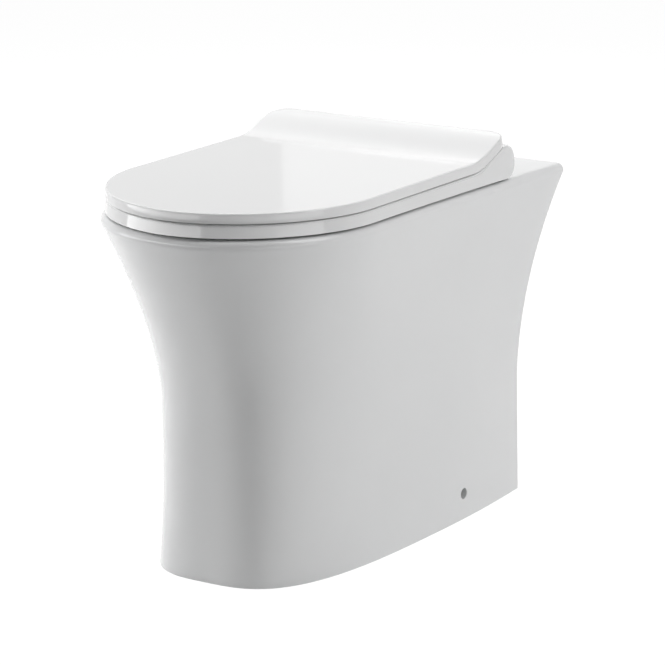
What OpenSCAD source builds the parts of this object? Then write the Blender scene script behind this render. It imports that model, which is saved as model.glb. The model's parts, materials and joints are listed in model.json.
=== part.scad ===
// Back to wall toilet pan with a slim soft-close seat and lid.
// The pan is one hollow casting: a flared skirt, a bowl with a water trap and a flush inlet.
// The seat ring and the lid turn about one axis across the back, on two hinges bolted to the deck.
// +Z is up, the user sits facing -Y, the wall is at +Y, and the floor is at z = 0.

/* [Pan outside] */
// Depth of the pan from its nose to the wall
pan_depth = 529; // [510:1:570]
// Height of the rim above the floor
rim_h = 400; // [390:1:430]
// Half width of the rim where its nose begins
rim_half = 164.5; // [158:0.5:172]
// Half width of the rim at the wall
rim_back_half = 175.5; // [170:0.5:188]
// Length of the rim's nose
rim_nose = 163; // [150:1:180]
// Squareness of the rim's nose, where 2 is an ellipse
rim_square = 2.1; // [1.9:0.05:2.4]
// Half width of the foot where its nose begins
foot_half = 122; // [115:1:130]
// Half width of the foot at the wall
foot_back_half = 111; // [105:1:120]
// How far the waist's nose lies behind the rim's nose
nose_overhang = 69; // [60:1:80]
// Length of the foot's nose
foot_nose = 266; // [240:1:280]
// Squareness of the foot's nose
foot_square = 3.2; // [2.6:0.1:3.6]
// Height where the sides begin to flare
side_waist = 132; // [110:1:160]
// Steepness of the sides' flare
side_flare = 1.8; // [1.5:0.05:2.2]
// Height where the nose begins to flare
nose_waist = 190; // [170:1:220]
// Steepness of the nose's flare
nose_flare = 1.6; // [1.3:0.05:2]
// How far the toe runs out again at the floor
toe_out = 14; // [4:1:18]
// Height of the toe's curve
toe_h = 140; // [100:5:180]
// Radius of the rim's outer shoulder
shoulder_r = 8; // [4:1:12]
// Thickness of the skirt
skirt_wall = 12; // [9:1:15]
// Thickness of the wall at the back
back_wall = 14; // [10:1:18]
// Thickness of the rim and the deck
deck_t = 18; // [14:1:24]

/* [Bowl] */
// Half width of the bowl's mouth
bowl_half = 122; // [112:1:128]
// Width of the rim in front of the bowl
rim_front_w = 46; // [42:1:60]
// Distance from the bowl's back edge to the wall
deck_d = 174; // [168:1:190]
// Thickness of the bowl's wall
bowl_wall = 9; // [7:1:11]
// Depth of the bowl's upright wall below the rim
upright_d = 62; // [40:1:80]
// Height where the bowl's slope ends and the sump begins
sump_top = 132; // [120:1:150]
// Half width of the sump
sump_half = 44; // [38:1:50]
// Length of the sump
sump_len = 76; // [70:1:90]
// Radius of the mouth's inner edge
mouth_r = 6; // [3:1:8]

/* [Trap and outlet] */
// Radius of the waterway through the trap
trap_r = 31; // [27:1:33]
// Height of the throat's centre
throat_z = 80; // [74:1:86]
// Radius of the bend below the water
low_bend_r = 60; // [54:1:66]
// Slope of the rising leg
rise_angle = 60; // [54:1:64]
// Radius of the bend over the weir
weir_bend_r = 50; // [47:1:54]
// Slope of the short falling leg
fall_angle = 25; // [18:1:28]
// Height of the outlet's centre
outlet_z = 180; // [175:1:185]
// Outer radius of the outlet spigot
outlet_r = 51; // [48:1:53]
// Wall of the outlet spigot
outlet_wall = 8; // [6:1:10]
// Length of the outlet spigot
outlet_len = 58; // [50:1:64]
// Depth of the spigot's end behind the wall plane
outlet_back = 8; // [2:1:15]

/* [Flush inlet] */
// Height of the flush inlet's centre
inlet_z = 338; // [332:1:342]
// Radius of the socket for the flush pipe
inlet_r = 27.5; // [24:0.5:29]
// Depth of the socket
inlet_depth = 40; // [30:1:50]
// Wall around the socket
inlet_wall = 9; // [7:1:10]
// Radius of the duct behind the socket
duct_r = 19; // [15:1:21]
// Width of the slot that spreads the water into the bowl
slot_w = 96; // [70:1:110]
// Height of that slot
slot_h = 16; // [10:1:20]

/* [Fixing to the floor] */
// Radius of the hole in each side of the foot
side_hole_r = 6.5; // [5:0.5:8]
// Height of that hole
side_hole_z = 31; // [26:1:36]
// Distance of that hole from the wall
side_hole_back = 135; // [110:1:150]
// Radius of the floor screw's hole in the bracket
floor_hole_r = 4; // [3:0.5:5]
// Width of the bracket along the skirt
bracket_w = 46; // [36:1:56]
// Reach of the bracket's foot
bracket_foot = 40; // [34:1:46]
// Height of the bracket
bracket_h = 50; // [44:1:60]
// Thickness of the bracket
bracket_t = 5; // [4:0.5:6]

/* [Seat] */
// Half width of the lid
lid_half = 162.5; // [157:0.5:167]
// Distance from the lid's nose to the rim's nose
lid_setback = 0.5; // [0:0.5:6]
// Length of the lid's nose
lid_nose = 157; // [145:1:170]
// Squareness of the lid's nose
lid_square = 1.9; // [1.85:0.05:2.1]
// Distance from the lid's back edge to the wall
lid_back_gap = 91; // [88:1:100]
// Radius of the lid's back corners
lid_corner = 28; // [20:1:36]
// Thickness of the lid at its edge
lid_t = 11; // [9:0.5:13]
// Rise of the seat over the hinges
seat_rise = 21.5; // [20:0.5:23]
// Length over which the seat rises
rise_len = 79; // [74:1:90]
// Gap between the lid and the ring
lid_gap = 1.4; // [1:0.1:2]
// Thickness of the seat ring at its edge
ring_t = 14; // [13:0.5:16]
// Gap between the seat ring and the rim
ring_gap = 2.4; // [2:0.1:3.5]
// Wall of the ring and the lid
seat_wall = 4; // [3:0.25:4.5]
// Radius of the seat's outer edges
seat_edge_r = 2; // [1:0.25:2.5]
// How far the ring's foot is wider at the back than the lid
ring_spread = 6; // [2:0.5:8]
// Radius of the ring's back corners
ring_corner = 10; // [7:0.5:14]
// How far the ring's rounded back runs in again below the hinge axis
ring_tuck = 20; // [14:1:24]
// Half width of the ring's opening
hole_half = 104; // [96:1:110]
// Width of the ring in front of its opening
ring_front_w = 62; // [56:1:72]
// Distance from the opening's back edge to the hinge axis
hole_hinge_gap = 85; // [78:1:92]
// Radius of the opening's back corners
hole_corner = 75; // [60:1:85]

/* [Hinges] */
// Distance between the two hinges
hinge_pitch = 155; // [145:1:165]
// Height of the hinge axis above the deck
axis_up = 26; // [25.5:0.25:27]
// Distance of the hinge axis in front of the lid's back edge
axis_in = 4; // [2:0.5:6]
// Distance of the hinge's post in front of its axis
post_in = 30; // [28:0.5:34]
// Radius of the hinge pins
pin_r = 4; // [3:0.25:4.5]
// Length of a hinge pin
pin_len = 70; // [67:1:76]
// Radius of the hinge block's barrel
barrel_r = 10.5; // [10:0.25:11]
// Width of the hinge block
block_w = 26; // [23:1:28]
// Wall of the hinge block around its post
block_wall = 4; // [3:0.25:5]
// Width of each of the lid's knuckles
knuckle_w = 10; // [8:0.5:11]
// Radius of the lid's knuckles
knuckle_r = 8.5; // [7.5:0.25:9]
// Width of each boss in the ring
boss_w = 8; // [6:0.5:9]
// Radius of each boss in the ring
boss_r = 10; // [8:0.25:10.5]
// Length of the notches in the ring in front of the axis
notch_in = 18; // [15:1:22]
// Radius of the damper
damper_r = 7; // [6:0.25:7.5]
// Radius of the hinge's post
post_r = 8; // [7.25:0.25:8.5]
// Height of the post
post_h = 9; // [8:0.25:9.25]
// Radius of the hinge's base disc
base_r = 16; // [13:0.5:17]
// Thickness of the base disc
base_t = 3; // [2.5:0.25:3.25]
// Thickness of the gasket below it
gasket_t = 1.5; // [1:0.25:1.75]
// Radius of the fixing bolt
bolt_r = 3; // [2.5:0.25:3.25]
// Height of the bolt's head
bolt_head_h = 5; // [4:0.25:5.5]
// Length of the fixing bolt below its head
bolt_len = 74; // [70:1:84]
// Radius of the seat's hole in the deck
deck_hole_r = 7; // [6.5:0.25:8]
// Length of the expanding bush
bush_len = 46; // [38:1:50]
// Height of the cone nut
nut_h = 10; // [7:1:12]

/* [Small parts] */
// Radius of the ring's buffers
ring_buffer_r = 8; // [6:0.5:9]
// Radius of the buffers' stems
stem_r = 3; // [2:0.25:3.5]
// Length of the buffers' stems
stem_len = 5; // [3:0.5:6]
// Radius of the lid's buffers
lid_buffer_r = 6; // [5:0.5:8]
// Distance of the buffers from the middle
buffer_x = 142; // [138:1:146]
// Distance of the front buffers from the lid's nose
buffer_front = 145; // [130:1:170]
// Distance of the back buffers from the hinge axis
buffer_back = 115; // [105:1:140]
// Radius of the grub screws
grub_r = 2.5; // [2:0.25:3]
// Gap between parts that move past each other
clear = 0.3; // [0.25:0.05:0.4]
// Radial play of a turning pin
play = 0.05; // [0.03:0.01:0.08]

/* [Hidden] */
$fn = 64;
// Overshoot of every cut
cut = 1;

// Pan
back_y = pan_depth / 2;
nose_y = -pan_depth / 2;
bowl_front = nose_y + rim_front_w;
bowl_back = back_y - deck_d;
sump_bottom = throat_z - trap_r - 2;
sump_round = 24;

// Path of the waterway in the plane x = 0, worked out from the outlet back to the throat
outlet_start = back_y - outlet_back - outlet_len;
fall_y = outlet_start - weir_bend_r * sin(fall_angle);
fall_z = outlet_z + weir_bend_r * (1 - cos(fall_angle));
weir_y = fall_y - weir_bend_r * sin(fall_angle);
weir_z = fall_z - weir_bend_r * cos(fall_angle);
leg_top_y = weir_y - weir_bend_r * sin(rise_angle);
leg_top_z = weir_z + weir_bend_r * cos(rise_angle);
leg_low_z = throat_z + low_bend_r * (1 - cos(rise_angle));
leg_len = (leg_top_z - leg_low_z) / sin(rise_angle);
leg_low_y = leg_top_y - leg_len * cos(rise_angle);
throat_y = leg_low_y - low_bend_r * sin(rise_angle);
sump_back = throat_y;

// Height where the rim's outside is widest, just below its shoulder
full_h = rim_h - shoulder_r;

// Seat heights, from the rim up
ring_bottom = rim_h + ring_gap;
ring_top = ring_bottom + ring_t;
lid_bottom = ring_top + lid_gap;
lid_top = lid_bottom + lid_t;

// Seat plan
lid_front = nose_y + lid_setback;
lid_back = back_y - lid_back_gap;
lid_mid = lid_front + lid_nose;
axis_y = lid_back - axis_in;
axis_z = rim_h + axis_up;
hole_back = axis_y - hole_hinge_gap;
hole_front = lid_front + ring_front_w;
hole_mid = hole_front + hole_half;

// Where the seat's rise begins, which is also the knee of every outline's side
knee_y = lid_back - rise_len;

// Hinge places
hinge_x = hinge_pitch / 2;
post_y = axis_y - post_in;
block_half = block_w / 2;
knuckle_in = block_half + 2 * clear;
knuckle_out = knuckle_in + knuckle_w;
notch_half = knuckle_out + clear;
base_z = rim_h + gasket_t;
post_z = base_z + base_t;
post_top = post_z + post_h;
block_z = post_z + clear;
block_reach = post_r + block_wall;
bolt_head_r = bolt_r * 1.7;
bolt_head_z = post_top - bolt_head_h - clear;
bolt_hole_r = bolt_r + clear;
bush_top = rim_h - clear;
bush_r = deck_hole_r - clear;
nut_top = bush_top - bush_len;

// Places of the buffers, as [x, y]
buffer_places =
    [for (x = [-buffer_x, buffer_x], y = [lid_front + buffer_front, axis_y - buffer_back]) [x, y]];

// Steps of an outline's corner, of its side behind and in front of the knee, and of its nose
fine = [5, 2, 6, 22];
coarse = [6, 2, 3, 14];
seat_steps = [5, 5, 3, 15];

// Outline of a D seen from above, from its back right corner round the nose to its back left corner.
// The nose is a superellipse in front of y = c, the sides run back to y = b and end in round corners.
// The side's points are spaced evenly on either side of y = knee.
function d_outline(half, front, c, square, back_half, b, corner = 0, steps = fine, knee = knee_y) =
    let (
        arc = corner > 0 ? [for (i = [0 : steps[0] - 1]) let (a = 90 * i / steps[0])
            [back_half - corner + corner * sin(a), b - corner + corner * cos(a)]] : [],
        end = b - corner,
        ys = concat([for (i = [0 : steps[1] - 1]) end + (knee - end) * i / steps[1]],
            [for (i = [0 : steps[2] - 1]) knee + (c - knee) * i / steps[2]]),
        side = [for (y = ys) [half + (back_half - half) * pow((y - c) / (end - c), 2), y]],
        nose = [for (i = [0 : steps[3]]) let (a = 90 * (1 - i / steps[3]))
            [half * pow(sin(a), 2 / square), c - (c - front) * pow(cos(a), 2 / square)]],
        right = concat(arc, side, nose)
    )
    concat(right, [for (i = [len(right) - 2 : -1 : 0]) [-right[i][0], right[i][1]]]);

// An outline lifted to a height
function lifted(outline, z) = [for (p = outline) [p[0], p[1], z]];

// Point by point blend of two outlines
function blended(a, b, s) = [for (i = [0 : len(a) - 1]) a[i] + (b[i] - a[i]) * s];

// Smooth step from 0 to 1
function ease(s) = let (t = min(max(s, 0), 1)) t * t * (3 - 2 * t);

// Triangles between neighbouring outlines of n points, from outline i up to the next
function wall_faces(n, i, next) = [for (j = [0 : n - 1]) let (k = (j + 1) % n)
    each [[i * n + j, i * n + k, next * n + k], [i * n + j, next * n + k, next * n + j]]];

// Lid over an outline that starts at s, in strips from its right side to its left
function cap_faces(n, s) = [for (j = [0 : (n - 3) / 2]) let (k = n - 1 - j)
    each j == (n - 3) / 2 ? [[s + j, s + j + 1, s + k]]
        : [[s + j, s + j + 1, s + k - 1], [s + j, s + k - 1, s + k]]];

function flipped(faces) = [for (f = faces) [f[2], f[1], f[0]]];

// Solid through a stack of outlines, closed at both ends
module stack(rings) {
    n = len(rings[0]);
    last = len(rings) - 1;
    polyhedron(
        points = [for (r = rings) each r],
        faces = concat(
            [for (i = [0 : last - 1]) each wall_faces(n, i, i + 1)],
            flipped(cap_faces(n, 0)),
            cap_faces(n, last * n)
        ),
        convexity = 8
    );
}

// Solid through a closed loop of outlines, with a hole in the middle
module loop(rings) {
    n = len(rings[0]);
    count = len(rings);
    polyhedron(
        points = [for (r = rings) each r],
        faces = [for (i = [0 : count - 1]) each wall_faces(n, i, (i + 1) % count)],
        convexity = 8
    );
}

// ---- Pan ----

function flare(z, low, high, waist, power) =
    z <= waist ? low : low + (high - low) * pow((min(z, full_h) - waist) / (full_h - waist), power);

function toe(z) = z >= toe_h ? 0 : pow(1 - z / toe_h, 2);

// Skirt's outline at height z, moved in by inset, ending at y = b
function skirt_outline(z, inset, b, steps = fine) =
    let (
        m = pow(z / rim_h, 2),
        half = flare(z, foot_half, rim_half, nose_waist, nose_flare),
        front = flare(z, nose_y + nose_overhang, nose_y, nose_waist, nose_flare) - toe_out * toe(z),
        c = nose_y + nose_overhang + foot_nose
            + (rim_nose - nose_overhang - foot_nose) * m,
        square = foot_square + (rim_square - foot_square) * m,
        wall_half = flare(z, foot_back_half, rim_back_half, side_waist, side_flare)
    )
    d_outline(half - inset, front + inset, c, square, wall_half - inset, b, steps = steps);

// Levels of the skirt: closer together where it curves
skirt_levels = concat(
    [for (i = [0 : 4]) toe_h * i / 5],
    [for (i = [0 : 13]) let (s = i / 14) toe_h + (full_h - toe_h) * s]
);
shoulder_steps = 5;

module skirt() {
    rings = concat(
        [for (z = skirt_levels) lifted(skirt_outline(z, 0, back_y), z)],
        [for (i = [0 : shoulder_steps])
            let (a = 90 * i / shoulder_steps, z = rim_h - shoulder_r * (1 - sin(a)))
            lifted(skirt_outline(z, shoulder_r * (1 - cos(a)), back_y), z)]
    );
    stack(rings);
}

// Hollow between the skirt and the bowl
module skirt_hollow() {
    top = rim_h - deck_t;
    levels = 9;
    inner_back = back_y - back_wall;
    stack(concat(
        [lifted(skirt_outline(0, skirt_wall, inner_back, coarse), -cut)],
        [for (i = [1 : levels]) let (z = top * i / levels)
            lifted(skirt_outline(z, skirt_wall, inner_back, coarse), z)]
    ));
}

// Opening in the back for the pipes, with a round-cornered top
module pipe_opening() {
    half = foot_back_half - 2 * skirt_wall;
    top = inlet_z - inlet_r - inlet_wall - 2 * skirt_wall;
    r = 3 * skirt_wall;
    translate([0, back_y + cut, 0]) rotate([90, 0, 0]) linear_extrude(back_wall + 2 * cut) {
        translate([-half, -cut]) square([2 * half, top - r + cut]);
        translate([-half + r, -cut]) square([2 * (half - r), top + cut]);
        for (side = [-1, 1]) translate([side * (half - r), top - r]) circle(r);
    }
}

// Sections of the bowl at height z, moved out by grow
function bowl_outline(z, grow) =
    let (
        s = ease((z - sump_top) / (rim_h - upright_d - sump_top)),
        floor_in = z < sump_bottom + sump_round
            ? sump_round * (1 - sqrt(max(0, 1 - pow((sump_bottom + sump_round - z) / sump_round, 2)))) : 0,
        mouth_out = z > rim_h - mouth_r
            ? mouth_r * (1 - sqrt(max(0, 1 - pow((z - rim_h + mouth_r) / mouth_r, 2)))) : 0,
        out = grow + mouth_out - floor_in,
        half = sump_half + (bowl_half - sump_half) * s + out,
        rear = sump_back + (bowl_back - sump_back) * ease((z - sump_top) / (rim_h - sump_top)) + out,
        front = sump_back - sump_len + (bowl_front - sump_back + sump_len) * s - out,
        c = front + (rear - front) * 0.45,
        corner = 0.8 * half
    )
    d_outline(half, front, c, 2, half, rear, corner, coarse, (rear - corner + c) / 2);

bowl_levels = concat(
    [for (i = [0 : 3]) sump_bottom + sump_round * (1 - cos(90 * i / 4))],
    [for (i = [0 : 11]) sump_bottom + sump_round + (rim_h - mouth_r - sump_bottom - sump_round) * i / 12],
    [for (i = [0 : 3]) rim_h - mouth_r * (1 - sin(90 * i / 3))]
);

module bowl_inside() {
    over = [for (z = bowl_levels) lifted(bowl_outline(z, 0), z)];
    stack(concat(over, [lifted(bowl_outline(rim_h, 0), rim_h + cut)]));
}

module bowl_outside() {
    top = rim_h - deck_t / 2;
    levels = 12;
    stack([for (i = [0 : levels]) let (z = sump_bottom + (top - sump_bottom) * i / levels)
        lifted(bowl_outline(max(z, sump_bottom + 0.12 * sump_round), bowl_wall),
            i == 0 ? z - bowl_wall : z)]);
}

// Points of an arc in the plane x = 0, as [y, z, direction], from its centre, radius, first direction and turn
function arc_path(cy, cz, r, first, turn, steps) =
    [for (i = [0 : steps]) let (d = first + turn * i / steps, side = turn > 0 ? 1 : -1)
        [cy + side * r * sin(d), cz - side * r * cos(d), d]];

// Path of the waterway: under the dip, up the leg, over the weir and down into the outlet
waterway_path = concat(
    [[throat_y - trap_r, throat_z, 0]],
    arc_path(throat_y, throat_z + low_bend_r, low_bend_r, 0, rise_angle, 5),
    arc_path(weir_y, weir_z, weir_bend_r, rise_angle, -rise_angle - fall_angle, 7),
    arc_path(outlet_start, outlet_z + weir_bend_r, weir_bend_r, -fall_angle, fall_angle, 2),
    [[outlet_start + 2 * outlet_wall, outlet_z, 0]]
);

// Round tube along that path
module waterway(tube) {
    sides = 20;
    n = sides;
    last = len(waterway_path) - 1;
    polyhedron(
        points = [for (p = waterway_path, i = [0 : sides - 1]) let (a = 360 * (i + 0.5) / sides)
            [-tube * sin(a), p[0] - tube * cos(a) * sin(p[2]), p[1] + tube * cos(a) * cos(p[2])]],
        faces = concat(
            [for (i = [0 : last - 1]) each wall_faces(n, i, i + 1)],
            [[for (j = [n - 1 : -1 : 0]) j], [for (j = [0 : n - 1]) last * n + j]]
        ),
        convexity = 6
    );
}

// Level round tube towards the wall
module level_tube(y, z, length, r) {
    translate([0, y, z]) rotate([-90, 0, 0]) cylinder(h = length, r = r);
}

module outlet_outside() {
    level_tube(outlet_start, outlet_z, outlet_len, outlet_r);
}

module outlet_inside() {
    level_tube(outlet_start + outlet_wall, outlet_z, outlet_len, outlet_r - outlet_wall);
}

// Flush inlet: a socket in the back wall, a duct, and a wide slot into the bowl
module inlet_outside() {
    reach = back_y - back_wall / 2 - bowl_back;
    level_tube(bowl_back, inlet_z, reach, inlet_r + inlet_wall);
    translate([-duct_r, bowl_back, inlet_z]) cube([2 * duct_r, reach, rim_h - deck_t / 2 - inlet_z]);
    translate([-slot_w / 2 - bowl_wall, bowl_back - bowl_wall, inlet_z - slot_h / 2 - bowl_wall])
        cube([slot_w + 2 * bowl_wall, 3 * bowl_wall + duct_r, slot_h + 2 * bowl_wall]);
}

module inlet_inside() {
    level_tube(back_y - inlet_depth, inlet_z, inlet_depth + cut, inlet_r);
    level_tube(bowl_back + bowl_wall, inlet_z, deck_d - inlet_depth, duct_r);
    translate([-slot_w / 2, bowl_back - 2 * bowl_wall, inlet_z - slot_h / 2])
        cube([slot_w, 3 * bowl_wall + duct_r, slot_h]);
}

module each_side() {
    for (side = [-1, 1]) translate([side * hinge_x, 0, 0]) children();
}

// Solid along X from x0, with its section drawn in the plane of Y and Z
module across(x0, width) {
    translate([x0, 0, 0]) rotate([90, 0, 90]) linear_extrude(width) children();
}

// Round bar along the hinge axis from x0
module axle(x0, width, r) {
    across(x0, width) translate([axis_y, axis_z]) circle(r);
}

module pan() {
    color("white") difference() {
        union() {
            difference() {
                skirt();
                skirt_hollow();
                pipe_opening();
            }
            bowl_outside();
            waterway(trap_r + bowl_wall);
            outlet_outside();
            inlet_outside();
        }
        bowl_inside();
        waterway(trap_r);
        outlet_inside();
        inlet_inside();
        each_side() translate([0, post_y, rim_h - 2 * deck_t]) cylinder(h = 3 * deck_t, r = deck_hole_r);
        for (side = [0, 180]) translate([0, back_y - side_hole_back, side_hole_z]) rotate([0, 90, side])
            translate([0, 0, foot_back_half - 2 * skirt_wall])
                cylinder(h = 4 * skirt_wall, r = side_hole_r);
    }
}

// ---- Seat ring ----

// Rise of the seat at distance y
function rise(y) = seat_rise * ease((y - knee_y) / rise_len);

// Radius of the ring's back about the hinge axis, level with its top there
ring_back_r = ring_top + rise(axis_y) - axis_z;

// Back of the ring at height z: round above the axis, running in below it
function ring_back(z) =
    let (t = (axis_z - z) / (axis_z - ring_bottom))
    z > axis_z ? axis_y + sqrt(max(0, pow(ring_back_r, 2) - pow(z - axis_z, 2)))
        : axis_y + ring_back_r - ring_tuck * (1 - sqrt(max(0, 1 - t * t)));

// The ring's outline at the part f of its height, moved in by inset and taken at a height lower by drop
function ring_outline(f, inset, drop) =
    let (
        z = ring_bottom + f * (ring_t + seat_rise) - drop,
        spread = 1 + (ring_spread - 1) * (1 - f)
    )
    d_outline(lid_half - inset, lid_front + inset, lid_mid, lid_square,
        lid_half + spread - inset, ring_back(z) - inset, ring_corner - inset, seat_steps);

function hole_outline(grow) =
    d_outline(hole_half + grow, hole_front - grow, hole_mid, 2, hole_half + grow, hole_back + grow,
        hole_corner + grow, seat_steps, (hole_back - hole_corner + hole_mid) / 2);

// An outline lifted to the part f of the ring's height, less drop
function on_ring(outline, f, drop) =
    [for (p = outline) [p[0], p[1], ring_bottom + f * (ring_t + rise(p[1])) - drop]];

// The ring as a shell, open below: up its outside, over its top, down its opening and back inside
module ring_shell() {
    levels = [0, 0.05, 0.15, 0.35, 0.6, 0.82];
    inner_levels = [0.7, 0.35, 0];
    shares = [0.08, 0.18, 0.3, 0.43, 0.57, 0.75];
    r = seat_edge_r;
    w = seat_wall;
    loop(concat(
        [for (f = levels) on_ring(ring_outline(f, 0, 0), f, 0)],
        [for (a = [0, 30, 60, 90]) let (drop = r * (1 - sin(a)))
            on_ring(ring_outline(1, r * (1 - cos(a)), drop), 1, drop)],
        [for (s = shares) on_ring(blended(ring_outline(1, r, 0), hole_outline(r), s), 1, 0)],
        [for (a = [90, 45, 0]) on_ring(hole_outline(r * (1 - cos(a))), 1, r * (1 - sin(a)))],
        [for (p = [[0, 0, 0], [w, 0, 0], [w, 1, w]]) on_ring(hole_outline(p[0]), p[1], p[2])],
        [for (i = [len(shares) - 1 : -1 : 0])
            on_ring(blended(ring_outline(1, w, w), hole_outline(w), shares[i]), 1, w)],
        [on_ring(ring_outline(1, w, w), 1, w)],
        [for (f = inner_levels) on_ring(ring_outline(f, w, w), f, 0)]
    ));
}

module seat_ring() {
    notch_y = axis_y - notch_in;
    notch_h = ring_t + seat_rise + 2 * cut;
    color("white") difference() {
        union() {
            difference() {
                ring_shell();
                each_side() translate([-notch_half, notch_y, ring_bottom - cut])
                    cube([2 * notch_half, notch_in + ring_back_r + cut, notch_h]);
            }
            each_side() for (x0 = [-notch_half - boss_w, notch_half]) axle(x0, boss_w, boss_r);
            for (p = buffer_places) translate([p[0], p[1], ring_bottom])
                cylinder(h = ring_t - seat_wall / 2, r = ring_buffer_r);
        }
        each_side() axle(-notch_half - boss_w - cut, 2 * (notch_half + boss_w + cut), pin_r + play);
        for (p = buffer_places) translate([p[0], p[1], ring_bottom - cut])
            cylinder(h = stem_len + clear + cut, r = stem_r + play);
    }
}

// Soft feet under the ring, each with a stem in the ring's boss
module ring_buffers() {
    foot = ring_gap - clear;
    color("gainsboro") for (p = buffer_places) translate([p[0], p[1], ring_bottom - foot]) {
        cylinder(h = foot, r = ring_buffer_r - clear);
        cylinder(h = foot + stem_len, r = stem_r);
    }
}

// ---- Lid ----

function lid_outline(inset) =
    d_outline(lid_half - inset, lid_front + inset, lid_mid, lid_square,
        lid_half - inset, lid_back - inset, lid_corner - inset, seat_steps);

// The lid's outline moved in by inset, at a depth below its top
function on_lid(inset, depth) =
    [for (p = lid_outline(inset)) [p[0], p[1], lid_top + rise(p[1]) - depth]];

// The lid as a tray, open below: from its ceiling down inside, and up outside to its top
module lid_shell() {
    w = seat_wall;
    r = seat_edge_r;
    stack(concat(
        [on_lid(w, w), on_lid(w, lid_t), on_lid(r / 2, lid_t), on_lid(0, lid_t - r / 2)],
        [for (a = [0 : 22.5 : 90]) on_lid(r * (1 - cos(a)), r * (1 - sin(a)))]
    ));
}

module lid() {
    web_top = lid_top + rise(axis_y) - seat_wall / 2;
    color("white") difference() {
        union() {
            lid_shell();
            each_side() for (x0 = [-knuckle_out, knuckle_in]) {
                axle(x0, knuckle_w, knuckle_r);
                translate([x0, axis_y - knuckle_r, axis_z])
                    cube([knuckle_w, knuckle_r + axis_in - seat_edge_r, web_top - axis_z]);
            }
        }
        each_side() axle(-knuckle_out - cut, 2 * (knuckle_out + cut), pin_r + play);
    }
}

// Soft buffers between the lid's ceiling and the ring
module lid_buffers() {
    h = lid_t - seat_wall + lid_gap - clear;
    color("gainsboro") for (p = buffer_places) translate([p[0], p[1], ring_top + clear])
        cylinder(h = h, r = lid_buffer_r);
}

// ---- Hinges ----

// Cranked block: a foot over the post, and an arm back to the barrel on the axis
module hinge_block(side) {
    tangent = 114;
    front = post_y - block_reach;
    arm_end = axis_y - barrel_r - clear;
    color("silver") translate([side * hinge_x, 0, 0]) difference() {
        across(-block_half, block_w) {
            translate([axis_y, axis_z]) circle(barrel_r);
            polygon([
                [front, block_z], [arm_end, block_z], [arm_end, axis_z - barrel_r / 2], [axis_y, axis_z],
                [axis_y + barrel_r * cos(tangent), axis_z + barrel_r * sin(tangent)],
                [front, post_top + block_wall / 2]
            ]);
        }
        axle(-block_half - cut, block_w + 2 * cut, damper_r + play);
        translate([0, post_y, block_z - cut])
            cylinder(h = post_top - block_z + clear + cut, r = post_r + play);
        grub_place() cylinder(h = block_reach, r = grub_r);
    }
}

// Place of the grub screw, pointing forwards from the post
module grub_place() {
    translate([0, post_y - post_r - play, (block_z + post_top) / 2]) rotate([90, 0, 0]) children();
}

module grub_screws() {
    color("silver") each_side() grub_place() cylinder(h = block_wall, r = grub_r);
}

// Slow-closing damper inside the block's barrel, around the pin
module damper(side) {
    color("dimgray") translate([side * hinge_x, 0, 0]) difference() {
        axle(-block_half, block_w, damper_r);
        axle(-block_half - cut, block_w + 2 * cut, pin_r + play);
    }
}

module hinge_pin(side) {
    color("silver") translate([side * hinge_x, 0, 0]) axle(-pin_len / 2, pin_len, pin_r);
}

// Post on a base disc, with a countersunk seat for the bolt's head
module hinge_post(side) {
    color("silver") translate([side * hinge_x, post_y, base_z]) difference() {
        union() {
            cylinder(h = base_t, r = base_r);
            cylinder(h = base_t + post_h, r = post_r);
        }
        translate([0, 0, -cut]) cylinder(h = base_t + post_h + 2 * cut, r = bolt_hole_r);
        translate([0, 0, bolt_head_z - base_z]) cylinder(h = post_h, r = bolt_head_r + clear);
    }
}

module post_gasket(side) {
    color("whitesmoke") translate([side * hinge_x, post_y, rim_h]) difference() {
        cylinder(h = gasket_t, r = base_r);
        translate([0, 0, -cut]) cylinder(h = gasket_t + 2 * cut, r = bolt_hole_r);
    }
}

// Bolt with a round head and a hexagon socket
module fixing_bolt(side) {
    color("silver") translate([side * hinge_x, post_y, bolt_head_z]) difference() {
        union() {
            cylinder(h = bolt_head_h, r = bolt_head_r);
            translate([0, 0, -bolt_len]) cylinder(h = bolt_len, r = bolt_r);
        }
        translate([0, 0, bolt_head_h / 2]) cylinder(h = bolt_head_h, r = bolt_r * 0.9, $fn = 6);
    }
}

// Rubber bush that grips the deck when the cone nut is drawn into it
module expanding_bush(side) {
    color("dimgray") translate([side * hinge_x, post_y, nut_top]) difference() {
        cylinder(h = bush_len, r = bush_r);
        translate([0, 0, -cut]) cylinder(h = bush_len + 2 * cut, r = bolt_hole_r);
    }
}

module cone_nut(side) {
    color("gold") translate([side * hinge_x, post_y, nut_top - nut_h]) difference() {
        cylinder(h = nut_h, r1 = bush_r, r2 = bush_r - nut_h / 5);
        translate([0, 0, -cut]) cylinder(h = nut_h + 2 * cut, r = bolt_r + play);
    }
}

// ---- Fixing to the floor ----

// Half width of the foot's inside at distance y, less the sag of its facets and the gap to the bracket
function inside_half(y) =
    let (c = nose_y + nose_overhang + foot_nose)
    foot_half + (foot_back_half - foot_half) * pow(max(0, y - c) / (back_y - c), 2)
        - skirt_wall - 4 * clear;

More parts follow.
